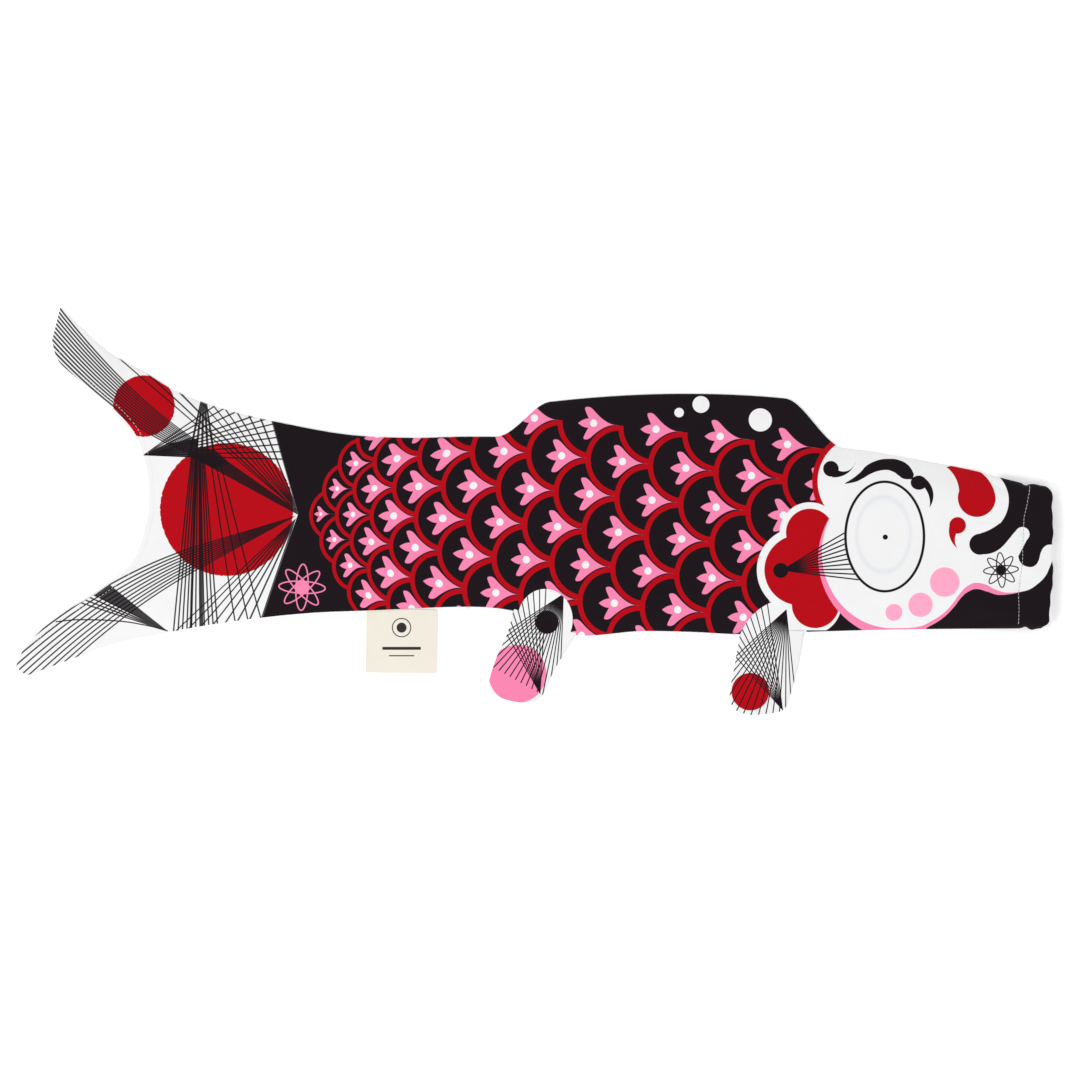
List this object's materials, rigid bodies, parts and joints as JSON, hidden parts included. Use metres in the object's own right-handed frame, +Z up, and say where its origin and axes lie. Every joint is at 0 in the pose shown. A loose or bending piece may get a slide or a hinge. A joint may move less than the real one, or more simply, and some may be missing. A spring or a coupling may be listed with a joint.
{
  "type": "carp streamer",
  "caption": "Printed cloth wind tube shaped like a carp, lying flat, with a hooped mouth, belly fins, a forked open tail and a sewn label.",
  "frame": {"origin": "on the surface the streamer lies on, under the middle of its overall box", "axes": "+X towards the mouth, +Y towards the back fin, +Z up from the surface it lies on"},
  "size_m": [0.7, 0.2756, 0.014],
  "materials": {
    "printed_cloth": "plain-woven cotton with a matt black, red, pink and white print",
    "plain_cloth": "plain-woven cotton, unprinted",
    "label_cotton": "cream cotton twill ribbon with dark print",
    "thread": "polyester sewing thread, slight sheen",
    "hoop_plastic": "flexible natural plastic strip"
  },
  "bodies": {
    "trunk": {"trunk_panel_near": "printed_cloth", "trunk_panel_far": "printed_cloth", "trunk_back_seam": "plain_cloth", "trunk_belly_seam": "plain_cloth", "waist_belly_seam": "plain_cloth"},
    "head": {"head_panel_near": "printed_cloth", "head_panel_far": "printed_cloth", "head_back_seam": "plain_cloth", "chin_seam": "plain_cloth", "breast_seam": "plain_cloth", "mouth_casing": "printed_cloth", "mouth_hoop": "hoop_plastic", "casing_stitching": "thread"},
    "rear": {"rear_panel_near": "printed_cloth", "rear_panel_far": "printed_cloth", "rear_back_seam": "plain_cloth", "rear_belly_seam": "plain_cloth"},
    "tail": {"tail_panel_near": "printed_cloth", "tail_panel_far": "printed_cloth", "tail_back_seam": "plain_cloth", "tail_belly_seam": "plain_cloth", "vent_hem_near": "plain_cloth", "vent_hem_far": "plain_cloth"},
    "upper_lobe": {"upper_lobe_near": "printed_cloth", "upper_lobe_far": "printed_cloth", "upper_lobe_seam": "plain_cloth"},
    "lower_lobe": {"lower_lobe_near": "printed_cloth", "lower_lobe_far": "printed_cloth", "lower_lobe_seam": "plain_cloth"},
    "pectoral_fin": {"pectoral_fin_near": "printed_cloth", "pectoral_fin_far": "printed_cloth", "pectoral_fin_seam": "plain_cloth"},
    "pelvic_fin": {"pelvic_fin_near": "printed_cloth", "pelvic_fin_far": "printed_cloth", "pelvic_fin_seam": "plain_cloth"},
    "label": {"label_ribbon": "label_cotton"}
  },
  "joints": [
    {"name": "neck_bend", "type": "hinge", "parent": "trunk", "child": "head", "pos_m": [0.106, 0, 0.0033], "axis": [0, 1, 0], "range_deg": [-60, 60]},
    {"name": "waist_bend", "type": "hinge", "parent": "trunk", "child": "rear", "pos_m": [-0.043, 0, 0.0033], "axis": [0, 1, 0], "range_deg": [-60, 60]},
    {"name": "tail_bend", "type": "hinge", "parent": "rear", "child": "tail", "pos_m": [-0.145, 0, 0.0033], "axis": [0, 1, 0], "range_deg": [-60, 60]},
    {"name": "upper_lobe_flap", "type": "hinge", "parent": "tail", "child": "upper_lobe", "pos_m": [-0.27342, 0.05868, 0.0031], "axis": [0.742, 0.6704, 0], "range_deg": [-60, 60]},
    {"name": "lower_lobe_flap", "type": "hinge", "parent": "tail", "child": "lower_lobe", "pos_m": [-0.28295, -0.04676, 0.0031], "axis": [0.1676, -0.9859, 0], "range_deg": [-60, 60]},
    {"name": "pectoral_fin_flap", "type": "hinge", "parent": "head", "child": "pectoral_fin", "pos_m": [0.14, -0.08389, 0.0009], "axis": [1, 0, 0], "range_deg": [-110, 110]},
    {"name": "pelvic_fin_flap", "type": "hinge", "parent": "trunk", "child": "pelvic_fin", "pos_m": [-0.01453, -0.06873, 0.0009], "axis": [0.9336, -0.3584, 0], "range_deg": [-110, 110]},
    {"name": "label_flip", "type": "hinge", "parent": "rear", "child": "label", "pos_m": [-0.1125, -0.06872, 0.00055], "axis": [0.9998, -0.0175, 0], "range_deg": [-110, 110]}
  ]
}
